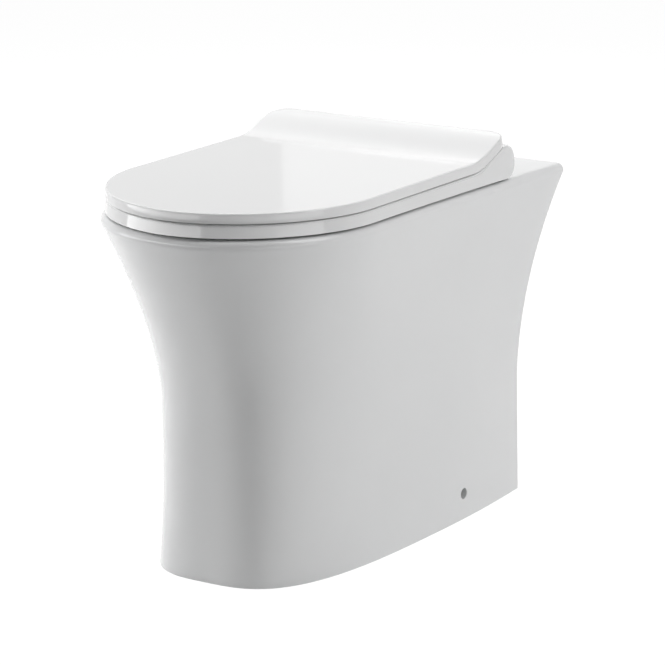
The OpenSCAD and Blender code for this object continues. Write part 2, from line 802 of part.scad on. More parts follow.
// Angle with its upright against the skirt and its foot on the floor, stiffened by two cheeks
module floor_bracket(side) {
    y = back_y - side_hole_back;
    half = bracket_w / 2;
    outer = inside_half(y + half);
    color("silver") rotate([0, 0, side > 0 ? 0 : 180]) translate([outer, side * y, 0]) difference() {
        union() {
            translate([-bracket_foot, -half, 0]) cube([bracket_foot, bracket_w, bracket_t]);
            translate([-bracket_t, -half, 0]) cube([bracket_t, bracket_w, bracket_h]);
            for (y0 = [-half, half - bracket_t]) translate([0, y0 + bracket_t, 0]) rotate([90, 0, 0])
                linear_extrude(bracket_t) polygon([[-bracket_foot, 0], [0, 0], [0, bracket_h],
                    [-bracket_t, bracket_h], [-bracket_foot, bracket_t]]);
        }
        translate([-2 * bracket_t, 0, side_hole_z]) rotate([0, 90, 0])
            cylinder(h = 3 * bracket_t, r = side_hole_r - 1);
        translate([-(bracket_foot + bracket_t) / 2, 0, -cut])
            cylinder(h = bracket_t + 2 * cut, r = floor_hole_r);
    }
}

pan();
seat_ring();
lid();
hinge_block(1);  // hinge_block_left
hinge_block(-1);  // hinge_block_right
damper(1);  // damper_left
damper(-1);  // damper_right
hinge_pin(1);  // hinge_pin_left
hinge_pin(-1);  // hinge_pin_right
hinge_post(1);  // hinge_post_left
hinge_post(-1);  // hinge_post_right
post_gasket(1);  // post_gasket_left
post_gasket(-1);  // post_gasket_right
fixing_bolt(1);  // fixing_bolt_left
fixing_bolt(-1);  // fixing_bolt_right
expanding_bush(1);  // expanding_bush_left
expanding_bush(-1);  // expanding_bush_right
cone_nut(1);  // cone_nut_left
cone_nut(-1);  // cone_nut_right
grub_screws();
ring_buffers();
lid_buffers();
floor_bracket(1);  // floor_bracket_left
floor_bracket(-1);  // floor_bracket_right
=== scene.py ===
import json
import math
import bmesh
import bpy
import numpy as np
from mathutils import Matrix, Vector


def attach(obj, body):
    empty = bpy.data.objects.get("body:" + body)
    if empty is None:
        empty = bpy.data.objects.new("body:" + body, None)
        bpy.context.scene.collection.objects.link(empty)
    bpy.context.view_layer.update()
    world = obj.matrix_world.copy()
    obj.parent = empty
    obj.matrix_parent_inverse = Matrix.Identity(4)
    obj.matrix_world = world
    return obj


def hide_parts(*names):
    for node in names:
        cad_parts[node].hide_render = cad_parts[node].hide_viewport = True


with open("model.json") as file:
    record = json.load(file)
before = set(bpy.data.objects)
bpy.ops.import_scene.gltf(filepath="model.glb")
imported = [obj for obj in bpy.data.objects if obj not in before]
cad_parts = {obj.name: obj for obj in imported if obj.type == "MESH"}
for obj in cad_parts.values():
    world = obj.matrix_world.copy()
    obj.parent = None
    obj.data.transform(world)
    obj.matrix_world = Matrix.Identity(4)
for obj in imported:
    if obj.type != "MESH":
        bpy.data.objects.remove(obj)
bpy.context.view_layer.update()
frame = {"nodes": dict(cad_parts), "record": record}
scene = bpy.context.scene
over = 0.001  # how far a cut runs past the surface that it opens
print("frame loaded:", len(frame["nodes"]), "nodes")


# Surfaces. A shape is a stack of rows of points, each row an outline seen from above.

def smoothStep(s):
    # 3t^2 - 2t^3, with t held between 0 and 1
    t = np.clip(s, 0, 1)
    return t * t * (3 - 2 * t)


def quarter(steps):
    # angles from 0 to a right angle
    return np.linspace(0, math.pi / 2, steps + 1)


def column(values):
    # one value for each row, so that it spreads over the points of the row
    return np.reshape(np.asarray(values, float), (-1, 1))


def roundedD(half, front, centre, squareness, backHalf, back, corner, steps, knee=None):
    # Outline of a D, from its back right corner round the nose to its back left corner.
    # Corner: quarter circle of radius corner.
    # Side: x = half + (backHalf-half) s^2, with s from 0 at the centre to 1 where the corner's arc begins.
    # Nose: |x/half|^p + |(centre-y)/(centre-front)|^p = 1 with p the squareness, stepped by the angle t:
    #   x = half sin t / r,  y = centre - (centre-front) cos t / r,  r = (sin^p t + cos^p t)^(1/p)
    half, front, centre, squareness, backHalf, back, corner = np.broadcast_arrays(*(
        column(v) for v in (half, front, centre, squareness, backHalf, back, corner)))
    a = quarter(steps["corner"])[None, :-1]
    arcX = backHalf - corner + corner * np.sin(a)
    arcY = back - corner + corner * np.cos(a)
    end = back - corner
    middle = end if knee is None else column(knee) + 0 * end
    sideY = np.concatenate([
        end + (middle - end) * np.linspace(0, 1, steps["rear"] + 1)[None, :-1],
        middle + (centre - middle) * np.linspace(0, 1, steps["side"] + 1)[None, :-1]], 1)
    sideX = half + (backHalf - half) * ((sideY - centre) / (end - centre)) ** 2
    t = quarter(steps["nose"])[None, ::-1]
    sin, cos = np.clip(np.sin(t), 0, 1), np.clip(np.cos(t), 0, 1)
    cos[:, 0] = 0
    reach = (sin ** squareness + cos ** squareness) ** (1 / squareness)
    noseX = half * sin / reach
    noseY = centre - (centre - front) * cos / reach
    x = np.concatenate([arcX, sideX, noseX], 1)
    y = np.concatenate([arcY, sideY, noseY], 1)
    return np.concatenate([np.stack([x, y], -1), np.stack([-x, y], -1)[:, -2::-1]], 1)


def atHeights(outlines, heights):
    # outlines (rows, points, 2) lifted to heights, one for each row or one for each point
    heights = np.broadcast_to(np.reshape(heights, (len(outlines), -1)), outlines.shape[:2])
    return np.concatenate([outlines, heights[..., None]], -1)


def wallQuads(rows, points, closed):
    # quads between neighbouring rows; the last row joins the first one if closed
    r, c = np.meshgrid(np.arange(rows if closed else rows - 1), np.arange(points), indexing="ij")
    up, on = (r + 1) % rows, (c + 1) % points
    quads = np.stack([r * points + c, up * points + c, up * points + on, r * points + on], -1)
    return quads.reshape(-1, 4)


def capQuads(points, start, upwards):
    # strips from the right half of a row to its mirror image on the left; the nose's tip is the odd point
    i = np.arange((points - 1) // 2)
    quads = np.stack([i, i + 1, points - 2 - i, points - 1 - i], -1) + start
    return quads[:, ::-1] if upwards else quads


def linked(name, mesh):
    piece = bpy.data.objects.new(name, mesh)
    scene.collection.objects.link(piece)
    return piece


def outwards(piece):
    # merges doubles, then turns every face outwards
    work = bmesh.new()
    work.from_mesh(piece.data)
    bmesh.ops.remove_doubles(work, verts=work.verts, dist=1e-7)
    bmesh.ops.recalc_face_normals(work, faces=work.faces)
    work.to_mesh(piece.data)
    work.free()


def meshPiece(name, points, faces):
    # faces as arrays of quads; a quad that names a point twice is a triangle
    mesh = bpy.data.meshes.new(name)
    whole = [tuple(dict.fromkeys(face)) for face in np.concatenate(faces).tolist()]
    mesh.from_pydata(points.reshape(-1, 3).tolist(), [], whole)
    mesh.validate()
    piece = linked(name, mesh)
    outwards(piece)
    return piece


def stackPiece(name, rows):
    # closed solid through rows of points from the bottom up
    count, points = rows.shape[:2]
    faces = [wallQuads(count, points, False), capQuads(points, 0, False),
             capQuads(points, (count - 1) * points, True)]
    return meshPiece(name, rows, faces)


def loopPiece(name, rows):
    # closed solid through rows of points that come back to the first row, with a hole in its middle
    return meshPiece(name, rows, [wallQuads(rows.shape[0], rows.shape[1], True)])


def roundPiece(name, rows):
    # closed solid through round rows, with a fan of triangles about the middle of each end
    count, sides = rows.shape[:2]
    points = np.concatenate([rows.reshape(-1, 3), [rows[0].mean(0), rows[-1].mean(0)]])
    c = np.arange(sides)
    on, last = (c + 1) % sides, (count - 1) * sides
    low, high = np.full(sides, count * sides), np.full(sides, count * sides + 1)
    faces = [wallQuads(count, sides, False), np.stack([c, on, low, low], -1),
             np.stack([last + on, last + c, high, high], -1)]
    return meshPiece(name, points, faces)


def tubePiece(name, path, radius, sides):
    # Round tube in the plane x = 0. path holds y, z and the slope d of each section's centre:
    #   p = (-r sin a, y - r cos a sin d, z + r cos a cos d)
    y, z, d = (path[:, i][:, None] for i in range(3))
    a = (np.arange(sides) + 0.5) * 2 * math.pi / sides
    across, above = -radius * np.sin(a)[None, :], radius * np.cos(a)
    rows = np.stack(np.broadcast_arrays(across, y - above * np.sin(d), z + above * np.cos(d)), -1)
    return roundPiece(name, rows)


def turnedPiece(name, profile, origin, axis, sides=96):
    # Profile of radius r and distance s turned about the line from origin along axis:
    #   p = origin + s axis + r (u cos a + v sin a), with u and v square to the axis
    axis = np.array(axis, float) / np.linalg.norm(axis)
    u = np.cross(axis, (0, 0, 1) if abs(axis[2]) < 0.9 else (1, 0, 0))
    u /= np.linalg.norm(u)
    v = np.cross(axis, u)
    profile = np.asarray(profile, float)
    a = np.arange(sides) * 2 * math.pi / sides
    ring = np.cos(a)[None, :, None] * u + np.sin(a)[None, :, None] * v
    rows = np.array(origin) + profile[:, 1, None, None] * axis + profile[:, 0, None, None] * ring
    return roundPiece(name, rows)


def blockPiece(name, low, high, bevel=0.0):
    # box between two corners, its edges rounded by bevel
    work = bmesh.new()
    bmesh.ops.create_cube(work, size=1)
    low, high = np.array(low, float), np.array(high, float)
    for vertex in work.verts:
        vertex.co = Vector((low + high) / 2 + np.array(vertex.co) * (high - low))
    if bevel:
        bmesh.ops.bevel(work, geom=list(work.edges), offset=bevel, segments=4, profile=0.5, affect="EDGES")
    mesh = bpy.data.meshes.new(name)
    work.to_mesh(mesh)
    work.free()
    return linked(name, mesh)


def carve(piece, tools, operation, material=None):
    # joins the tools to the piece or cuts them out of it; the faces they make are in the tools' material
    for tool in tools:
        if material:
            tool.data.materials.append(material)
        step = piece.modifiers.new(tool.name, "BOOLEAN")
        step.solver = "MANIFOLD"
        step.operation = operation
        step.object = tool
        step.material_mode = "TRANSFER"
    graph = bpy.context.evaluated_depsgraph_get()
    carved = bpy.data.meshes.new_from_object(piece.evaluated_get(graph), depsgraph=graph)
    uncarved = piece.data
    piece.modifiers.clear()
    piece.data = carved
    bpy.data.meshes.remove(uncarved)
    for tool in tools:
        bpy.data.objects.remove(tool)


def smoothSides(piece, degrees=34):
    # smooth shading, with every edge sharper than the angle kept sharp
    piece.data.shade_smooth()
    piece.data.set_sharp_from_angle(angle=math.radians(degrees))


# Materials. A Wire is one socket, and a sum with a Wire in it adds its Math node.

class Wire:
    def __init__(self, finish, socket):
        self.finish = finish
        self.socket = socket

    def sum(self, operation, a, b):
        return self.finish.add("ShaderNodeMath", {"operation": operation}, {0: a, 1: b})

    def __add__(self, other):
        return self.sum("ADD", self, other)

    def __radd__(self, other):
        return self.sum("ADD", other, self)

    def __sub__(self, other):
        return self.sum("SUBTRACT", self, other)

    def __rsub__(self, other):
        return self.sum("SUBTRACT", other, self)

    def __mul__(self, other):
        return self.sum("MULTIPLY", self, other)

    def __rmul__(self, other):
        return self.sum("MULTIPLY", other, self)


class Finish:
    def __init__(self, name, **constants):
        # a Principled surface; constants are set on the shader's own sockets
        self.material = bpy.data.materials.new(name)
        self.material.use_nodes = True
        self.tree = self.material.node_tree
        self.tree.nodes.clear()
        self.shader = self.tree.nodes.new("ShaderNodeBsdfPrincipled")
        self.output = self.tree.nodes.new("ShaderNodeOutputMaterial")
        self.tree.links.new(self.shader.outputs[0], self.output.inputs["Surface"])
        for socket, value in constants.items():
            self.shader.inputs[socket.replace("_", " ")].default_value = value

    def add(self, kind, settings=None, inputs=None, output=0):
        # settings first, then the values or links of the sockets
        node = self.tree.nodes.new(kind)
        for key, value in (settings or {}).items():
            if key == "stops":
                ramp = node.color_ramp
                while len(ramp.elements) < len(value):
                    ramp.elements.new(0.5)
                for element, (place, colour) in zip(ramp.elements, value):
                    element.position = place
                    element.color = colour
            else:
                setattr(node, key, value)
        for socket, value in (inputs or {}).items():
            if isinstance(value, Wire):
                self.tree.links.new(value.socket, node.inputs[socket])
            else:
                node.inputs[socket].default_value = value
        return Wire(self, node.outputs[output])

    def drive(self, socket, wire):
        self.tree.links.new(wire.socket, self.shader.inputs[socket])

    def noise(self, scale, detail, roughness=0.5, stretch=(1, 1, 1)):
        # noise on object coordinates
        place = self.add("ShaderNodeTexCoord", output="Object")
        place = self.add("ShaderNodeMapping", {}, {"Vector": place, "Scale": stretch})
        return self.add("ShaderNodeTexNoise", {"noise_dimensions": "3D"},
                        {"Vector": place, "Scale": scale, "Detail": detail, "Roughness": roughness})

    def clouded(self, wire, dark, light):
        # two close tones in soft patches
        stops = [(0.3, (*dark, 1)), (0.7, (*light, 1))]
        self.drive("Base Color", self.add("ShaderNodeValToRGB", {"stops": stops}, {"Fac": wire}))

    def mottled(self, wire, dark, light):
        # two tones mixed evenly; sockets 6 and 7 of the Mix node are its colours, and output 2 is their mix
        inputs = {"Factor": wire, 6: (*dark, 1), 7: (*light, 1)}
        self.drive("Base Color", self.add("ShaderNodeMix", {"data_type": "RGBA"}, inputs, output=2))

    def bump(self, wire, distance, strength, after=None):
        inputs = {"Height": wire, "Distance": distance, "Strength": strength}
        if after is not None:
            inputs["Normal"] = after
        return self.add("ShaderNodeBump", {}, inputs)


def glazedChina():
    # white vitreous china under a clear glaze: faint clouds in the colour, long soft waves in the glaze
    finish = Finish("glazedChina", Coat_Weight=0.6, Coat_Roughness=0.04, Coat_IOR=1.5, IOR=1.5)
    finish.clouded(finish.noise(7, 3), (0.842, 0.848, 0.852), (0.862, 0.867, 0.870))
    finish.drive("Roughness", 0.16 + finish.noise(60, 2) * 0.08)
    waves = finish.bump(finish.noise(14, 1), 0.0009, 0.35)
    finish.drive("Normal", finish.bump(finish.noise(420, 2), 0.00003, 0.25, waves))
    return finish.material


def bareClay():
    # fired clay without glaze, inside the casting and under its foot: matt, faintly sandy
    finish = Finish("bareClay", IOR=1.45)
    grain = finish.noise(900, 4, 0.6)
    stain = finish.noise(18, 3)
    finish.mottled(stain * 0.7 + grain * 0.3, (0.70, 0.68, 0.64), (0.79, 0.78, 0.75))
    finish.drive("Roughness", 0.72 + grain * 0.2)
    finish.drive("Normal", finish.bump(grain, 0.0002, 0.6))
    return finish.material


def polishedResin():
    # white moulded resin of the seat, polished: almost flat, with a faint ripple
    finish = Finish("polishedResin", Coat_Weight=0.35, Coat_Roughness=0.03, IOR=1.5)
    finish.clouded(finish.noise(5, 2), (0.872, 0.874, 0.876), (0.886, 0.888, 0.889))
    finish.drive("Roughness", 0.06 + finish.noise(90, 2) * 0.04)
    finish.drive("Normal", finish.bump(finish.noise(9, 1), 0.0004, 0.15))
    return finish.material


def brushed(name, colour, roughness, stretch=(1, 60, 60), depth=0.00004):
    # metal with fine marks across its length
    finish = Finish(name, Metallic=1.0)
    marks = finish.noise(40, 4, 0.65, stretch)
    blotch = finish.noise(25, 3)
    finish.mottled(marks * 0.5 + blotch * 0.5, [0.88 * c for c in colour], colour)
    finish.drive("Roughness", roughness + (marks - 0.5) * 0.18)
    finish.drive("Normal", finish.bump(marks, depth, 0.5))
    return finish.material


def moulded(name, dark, light, roughness, grainScale=700, depth=0.00005, **constants):
    # plain moulded plastic or rubber with a fine skin
    finish = Finish(name, **constants)
    grain = finish.noise(grainScale, 3)
    finish.mottled(finish.noise(40, 3), dark, light)
    finish.drive("Roughness", roughness + (grain - 0.5) * 0.12)
    finish.drive("Normal", finish.bump(grain, depth, 0.5))
    return finish.material


china = glazedChina()
clay = bareClay()
resin = polishedResin()
finishes = {  # by the record's material slots
    "satin_metal": brushed("satinMetal", (0.66, 0.67, 0.68), 0.34),
    "steel": brushed("plainSteel", (0.60, 0.60, 0.61), 0.26, (60, 60, 4)),
    "damper_plastic": moulded("damperPlastic", (0.035, 0.036, 0.038), (0.055, 0.056, 0.058), 0.45),
    "buffer": moulded("softBuffer", (0.70, 0.70, 0.69), (0.78, 0.78, 0.77), 0.42, Subsurface_Weight=0.15),
    "gasket": moulded("softGasket", (0.68, 0.68, 0.66), (0.75, 0.75, 0.73), 0.6),
    "bush_rubber": moulded("bushRubber", (0.012, 0.012, 0.013), (0.022, 0.022, 0.023), 0.62, 400, 0.0001),
    "brass": brushed("turnedBrass", (0.72, 0.53, 0.24), 0.28, (60, 60, 2)),
    "bracket_metal": brushed("zincPlate", (0.62, 0.64, 0.66), 0.4, (8, 8, 8), 0.00002),
}
print("materials made:", len(bpy.data.materials))


# The pan: one hollow casting. Its parts are closed solids that are joined and cut like clay.

pan = {
    "depth": 0.529, "rimHeight": 0.400, "rimHalf": 0.1645, "rimBackHalf": 0.1755, "rimNose": 0.163,
    "rimSquare": 2.1, "footHalf": 0.122, "footBackHalf": 0.111, "noseOverhang": 0.069, "footNose": 0.266,
    "footSquare": 3.2, "sideWaist": 0.132, "sideFlare": 1.8, "noseWaist": 0.190, "noseFlare": 1.6,
    "toeOut": 0.014, "toeHeight": 0.140, "shoulder": 0.008, "footEdge": 0.0015, "wallEdge": 0.0025,
    "skirtWall": 0.012, "backWall": 0.014, "deck": 0.018, "insideCorner": 0.006,
    "sideHole": {"radius": 0.0065, "height": 0.031, "fromWall": 0.135}, "deckHole": 0.007,
    "rows": {"edge": 4, "toe": 17, "side": 51, "shoulder": 10, "hollow": 21},
    "outerSteps": {"corner": 4, "rear": 10, "side": 34, "nose": 84},
    "innerSteps": {"corner": 6, "rear": 2, "side": 10, "nose": 40},
}
bowl = {
    "half": 0.122, "frontRim": 0.046, "deckDepth": 0.174, "wall": 0.009, "upright": 0.062,
    "sumpTop": 0.132, "sumpHalf": 0.044, "sumpLength": 0.076, "sumpRound": 0.024, "mouthEdge": 0.006,
    "widestAt": 0.45, "cornerShare": 0.8, "sumpDrop": 0.002, "rows": {"round": 8, "side": 55, "outside": 29},
    "steps": {"corner": 20, "rear": 4, "side": 12, "nose": 48},
    "outsideSteps": {"corner": 10, "rear": 2, "side": 6, "nose": 24},
}
trap = {
    "radius": 0.031, "throatHeight": 0.080, "lowBend": 0.060, "riseAngle": 60, "weirBend": 0.050,
    "fallAngle": 25, "outletHeight": 0.180, "outletRadius": 0.051, "outletWall": 0.008,
    "outletLength": 0.058, "outletBack": 0.008, "outletEdge": 0.002,
}
inlet = {
    "height": 0.338, "radius": 0.0275, "depth": 0.040, "wall": 0.009, "duct": 0.019,
    "slotWidth": 0.096, "slotHeight": 0.016, "slotEdge": 0.004,
}
backY, noseY = pan["depth"] / 2, -pan["depth"] / 2
rim = pan["rimHeight"]
fullHeight = rim - pan["shoulder"]
bowlFront, bowlBack = noseY + bowl["frontRim"], backY - bowl["deckDepth"]
sumpBottom = trap["throatHeight"] - trap["radius"] - bowl["sumpDrop"]


def flare(z, low, high, waist, power):
    # low up to the waist, then low + (high-low) ((z-waist)/(full-waist))^power
    s = np.clip((np.minimum(z, fullHeight) - waist) / (fullHeight - waist), 0, None)
    return low + (high - low) * s ** power


def skirtOutline(z, inset, back, corner, steps):
    # The skirt's D at height z, moved in by inset. Half widths and front follow flare; the length and
    # squareness of the nose go from the foot's to the rim's with (z/rim)^2; the toe runs out below
    # toeHeight by (1 - z/toeHeight)^2.
    z = np.atleast_1d(np.asarray(z, float))
    grown = (z / rim) ** 2
    footFront = noseY + pan["noseOverhang"]
    toe = np.where(z < pan["toeHeight"], (1 - z / pan["toeHeight"]) ** 2, 0)
    half = flare(z, pan["footHalf"], pan["rimHalf"], pan["noseWaist"], pan["noseFlare"])
    front = flare(z, footFront, noseY, pan["noseWaist"], pan["noseFlare"]) - pan["toeOut"] * toe
    centre = footFront + pan["footNose"] + (pan["rimNose"] - pan["noseOverhang"] - pan["footNose"]) * grown
    square = pan["footSquare"] + (pan["rimSquare"] - pan["footSquare"]) * grown
    backHalf = flare(z, pan["footBackHalf"], pan["rimBackHalf"], pan["sideWaist"], pan["sideFlare"])
    return roundedD(half - inset, front + inset, centre, square, backHalf - inset, back, corner, steps)


def skirt():
    # outlines from floor to rim; quarter circles round the foot's edge and the rim's shoulder
    edge, r, rows = pan["footEdge"], pan["shoulder"], pan["rows"]
    foot, bend = quarter(rows["edge"])[:-1], quarter(rows["shoulder"])
    z = np.concatenate([
        edge * (1 - np.cos(foot)), np.linspace(edge, pan["toeHeight"], rows["toe"] + 1)[:-1],
        np.linspace(pan["toeHeight"], fullHeight, rows["side"] + 1)[:-1], rim - r * (1 - np.sin(bend))])
    inset = np.zeros_like(z)
    inset[:len(foot)] = edge * (1 - np.sin(foot))
    inset[-len(bend):] = r * (1 - np.cos(bend))
    outlines = skirtOutline(z, inset, backY, pan["wallEdge"], pan["outerSteps"])
    return stackPiece("panCasting", atHeights(outlines, z[:, None]))


def skirtHollow():
    # the skirt's outlines moved in by its wall, up to the underside of the deck
    z = np.linspace(0, rim - pan["deck"], pan["rows"]["hollow"] + 1)
    outlines = skirtOutline(z, pan["skirtWall"], backY - pan["backWall"], pan["insideCorner"],
                            pan["innerSteps"])
    rows = atHeights(outlines, z[:, None])
    rows[0, :, 2] = -over
    return stackPiece("hollow", rows)


def pipeOpening():
    # arch through the back wall: straight sides and quarter circles of radius r at its top corners
    wall = pan["skirtWall"]
    half, r = pan["footBackHalf"] - 2 * wall, 3 * wall
    top = inlet["height"] - inlet["radius"] - inlet["wall"] - 2 * wall
    a = quarter(16)
    right = np.stack([half - r + r * np.cos(a), top - r + r * np.sin(a)], -1)
    arch = np.concatenate([[[-half, -over], [half, -over]], right, right[::-1] * (-1, 1)])
    near, far = backY - pan["backWall"] - over, backY + over
    points = np.concatenate([np.insert(arch, 1, near, 1), np.insert(arch, 1, far, 1)])
    count = len(arch)
    c = np.arange(count)
    sides = np.stack([c, (c + 1) % count, (c + 1) % count + count, c + count], -1).tolist()
    mesh = bpy.data.meshes.new("pipeOpening")
    mesh.from_pydata(points.tolist(), [], sides + [list(range(count))[::-1], list(range(count, 2 * count))])
    piece = linked("pipeOpening", mesh)
    outwards(piece)
    return piece


def arcPath(cy, cz, r, first, turn, steps):
    # points of an arc with its slope: y = cy + side r sin d, z = cz - side r cos d
    d = math.radians(first) + math.radians(turn) * np.linspace(0, 1, steps + 1)
    side = 1 if turn > 0 else -1
    return np.stack([cy + side * r * np.sin(d), cz - side * r * np.cos(d), d], -1)


def waterway():
    # Worked out from the outlet back to the throat, as arcs joined by straight lines.
    # Gives y at the throat and at the outlet's start, and the path.
    rise, fall = math.radians(trap["riseAngle"]), math.radians(trap["fallAngle"])
    bend, low, r = trap["weirBend"], trap["lowBend"], trap["radius"]
    start = backY - trap["outletBack"] - trap["outletLength"]
    weirY = start - 2 * bend * math.sin(fall)
    weirZ = trap["outletHeight"] + bend * (1 - math.cos(fall)) - bend * math.cos(fall)
    topY, topZ = weirY - bend * math.sin(rise), weirZ + bend * math.cos(rise)
    lowZ = trap["throatHeight"] + low * (1 - math.cos(rise))
    lowY = topY - (topZ - lowZ) / math.tan(rise)
    throat = lowY - low * math.sin(rise)
    path = np.concatenate([
        [[throat - r, trap["throatHeight"], 0]],
        arcPath(throat, trap["throatHeight"] + low, low, 0, trap["riseAngle"], 20),
        arcPath(weirY, weirZ, bend, trap["riseAngle"], -trap["riseAngle"] - trap["fallAngle"], 28),
        arcPath(start, trap["outletHeight"] + bend, bend, -trap["fallAngle"], trap["fallAngle"], 8)[1:],
        [[start + 2 * trap["outletWall"], trap["outletHeight"], 0]]])
    return throat, start, path


throatY, outletStart, waterPath = waterway()


def bowlOutline(z, grow, steps):
    # Half width and ends ease from the sump's to the mouth's by smoothStep, grown on every side by grow;
    # the sump's floor and the mouth's edge are quarter circles: in or out by r (1 - sqrt(1 - (h/r)^2)).
    z = np.atleast_1d(np.asarray(z, float))
    s = smoothStep((z - bowl["sumpTop"]) / (rim - bowl["upright"] - bowl["sumpTop"]))
    sRear = smoothStep((z - bowl["sumpTop"]) / (rim - bowl["sumpTop"]))
    r, m = bowl["sumpRound"], bowl["mouthEdge"]
    floorIn = r * (1 - np.sqrt(np.clip(1 - (np.clip(sumpBottom + r - z, 0, r) / r) ** 2, 0, 1)))
    mouthOut = m * (1 - np.sqrt(np.clip(1 - (np.clip(z - rim + m, 0, m) / m) ** 2, 0, 1)))
    out = grow + mouthOut - floorIn
    half = bowl["sumpHalf"] + (bowl["half"] - bowl["sumpHalf"]) * s + out
    rear = throatY + (bowlBack - throatY) * sRear + out
    front = throatY - bowl["sumpLength"] + (bowlFront - throatY + bowl["sumpLength"]) * s - out
    centre = front + (rear - front) * bowl["widestAt"]
    corner = bowl["cornerShare"] * half
    return roundedD(half, front, centre, 2, half, rear, corner, steps, (rear - corner + centre) / 2)


def bowlInside():
    # rows close together on the sump's round floor and on the mouth's edge, and even ones between them
    low, high = sumpBottom + bowl["sumpRound"], rim - bowl["mouthEdge"]
    a = quarter(bowl["rows"]["round"])
    z = np.concatenate([
        sumpBottom + bowl["sumpRound"] * (1 - np.cos(a))[:-1],
        np.linspace(low, high, bowl["rows"]["side"] + 1)[:-1],
        rim - bowl["mouthEdge"] * (1 - np.sin(a)), [rim]])
    height = z.copy()
    height[-1] += over
    return stackPiece("bowlInside", atHeights(bowlOutline(z, 0, bowl["steps"]), height[:, None]))


def bowlOutside():
    # starts a little up the sump's round floor, so that its lowest row has some width
    z = np.linspace(sumpBottom, rim - pan["deck"] / 2, bowl["rows"]["outside"] + 1)
    height = z.copy()
    height[0] -= bowl["wall"]
    shape = np.maximum(z, sumpBottom + 0.12 * bowl["sumpRound"])
    outlines = bowlOutline(shape, bowl["wall"], bowl["outsideSteps"])
    return stackPiece("bowlOutside", atHeights(outlines, height[:, None]))


def levelTube(name, y, z, length, r):
    # round bar from y towards the wall
    return turnedPiece(name, [[r, 0], [r, length]], (0, y, z), (0, 1, 0))


def slotBlock(name, front, back, grow, bevel=0.0):
    # the flush slot behind the bowl, with its width and height grown on each side
    x, z = inlet["slotWidth"] / 2 + grow, inlet["slotHeight"] / 2 + grow
    return blockPiece(name, (-x, front, inlet["height"] - z), (x, back, inlet["height"] + z), bevel)


def insideWalls():
    # what is cast on inside the skirt: bowl, waterway, outlet spigot, inlet and flush slot
    wall, duct, r, length = bowl["wall"], inlet["duct"], trap["outletRadius"], trap["outletLength"]
    edge, reach = trap["outletEdge"], backY - pan["backWall"] / 2 - bowlBack
    spigot = [[r, 0], [r, length - edge], [r - 0.3 * edge, length - 0.3 * edge], [r - edge, length]]
    roofTop = (duct, bowlBack + reach, rim - pan["deck"] / 2)
    return [
        bowlOutside(),
        tubePiece("waterwayOutside", waterPath, trap["radius"] + wall, 48),
        turnedPiece("outletOutside", spigot, (0, outletStart, trap["outletHeight"]), (0, 1, 0)),
        levelTube("inletOutside", bowlBack, inlet["height"], reach, inlet["radius"] + inlet["wall"]),
        blockPiece("inletRoof", (-duct, bowlBack, inlet["height"]), roofTop),
        slotBlock("slotOutside", bowlBack - wall, bowlBack + 2 * wall + duct, wall),
    ]


def waterSpaces():
    # the open way of the water: bowl, waterway, outlet, inlet socket and duct, flush slot
    wall, duct, length = bowl["wall"], inlet["duct"], trap["outletLength"]
    bore, socket = trap["outletRadius"] - trap["outletWall"], inlet["depth"]
    return [
        bowlInside(),
        tubePiece("waterwayInside", waterPath, trap["radius"], 64),
        levelTube("outletInside", outletStart + trap["outletWall"], trap["outletHeight"], length, bore),
        levelTube("inletSocket", backY - socket, inlet["height"], socket + over, inlet["radius"]),
        levelTube("inletDuct", bowlBack + wall, inlet["height"], bowl["deckDepth"] - socket, duct),
        slotBlock("slotInside", bowlBack - 2 * wall, bowlBack + wall + duct, 0, inlet["slotEdge"]),
    ]


def fixingHoles():
    # two holes in the deck for the seat's bolts, and one low in each side for the floor brackets;
    # every cutter ends in the open on both sides of its wall
    holes, side = [], pan["sideHole"]
    r, x = side["radius"], pan["footBackHalf"] - 2 * pan["skirtWall"]
    for s in (-1, 1):
        place = (s * hinge["pitch"] / 2, hinge["postY"], rim)
        profile = [[pan["deckHole"], -0.03], [pan["deckHole"], 0.01]]
        holes.append(turnedPiece(f"deckHole{s}", profile, place, (0, 0, 1), 48))
        place = (s * x, backY - side["fromWall"], side["height"])
        holes.append(turnedPiece(f"sideHole{s}", [[r, 0], [r, 0.048]], place, (s, 0, 0), 64))
    return holes


def bareFoot(body):
    # the faces that stand on the floor have no glaze
    faces = body.data.polygons
    normals, centres = np.zeros(len(faces) * 3), np.zeros(len(faces) * 3)
    slots = np.zeros(len(faces), np.int32)
    faces.foreach_get("normal", normals)
    faces.foreach_get("center", centres)
    faces.foreach_get("material_index", slots)
    names = [material.name for material in body.data.materials]
    slots[(normals[2::3] < -0.9) & (centres[2::3] < 0.001)] = names.index(clay.name)
    faces.foreach_set("material_index", slots)


def makePan():
    body = skirt()
    body.data.materials.append(china)
    carve(body, [skirtHollow(), pipeOpening()], "DIFFERENCE", clay)
    carve(body, insideWalls(), "UNION", clay)
    carve(body, waterSpaces() + fixingHoles(), "DIFFERENCE", china)
    bareFoot(body)
    smoothSides(body)
    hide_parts("pan")
    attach(body, "pan_body")
    print("pan:", len(body.data.polygons), "faces")


# The seat: a ring, open below, and a lid as a shallow tray. Both rise together over the hinges.

